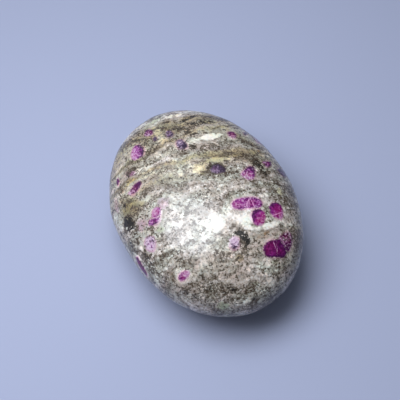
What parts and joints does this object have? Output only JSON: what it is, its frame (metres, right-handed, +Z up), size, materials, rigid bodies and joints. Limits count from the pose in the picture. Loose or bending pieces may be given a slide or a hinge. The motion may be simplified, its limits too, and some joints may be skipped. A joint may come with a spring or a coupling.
{
  "type": "ruby in albite palm stone",
  "caption": "Smooth flattened-oval polished stone: banded grey-cream feldspar rock with dark mica and scattered magenta ruby crystals, resting on a small flat spot.",
  "frame": {"origin": "on the surface the stone rests on, below the middle of its length and width", "axes": "+X along the stone's length, +Y across its width, +Z up through its thickness"},
  "size_m": [0.065, 0.0492, 0.0302],
  "materials": {
    "polished_rock": "glossy polish; grey-cream banded feldspar, brown mica specks, ochre stains, magenta ruby crystals"
  },
  "bodies": {
    "root": {"palm_stone": "polished_rock"}
  },
  "joints": []
}
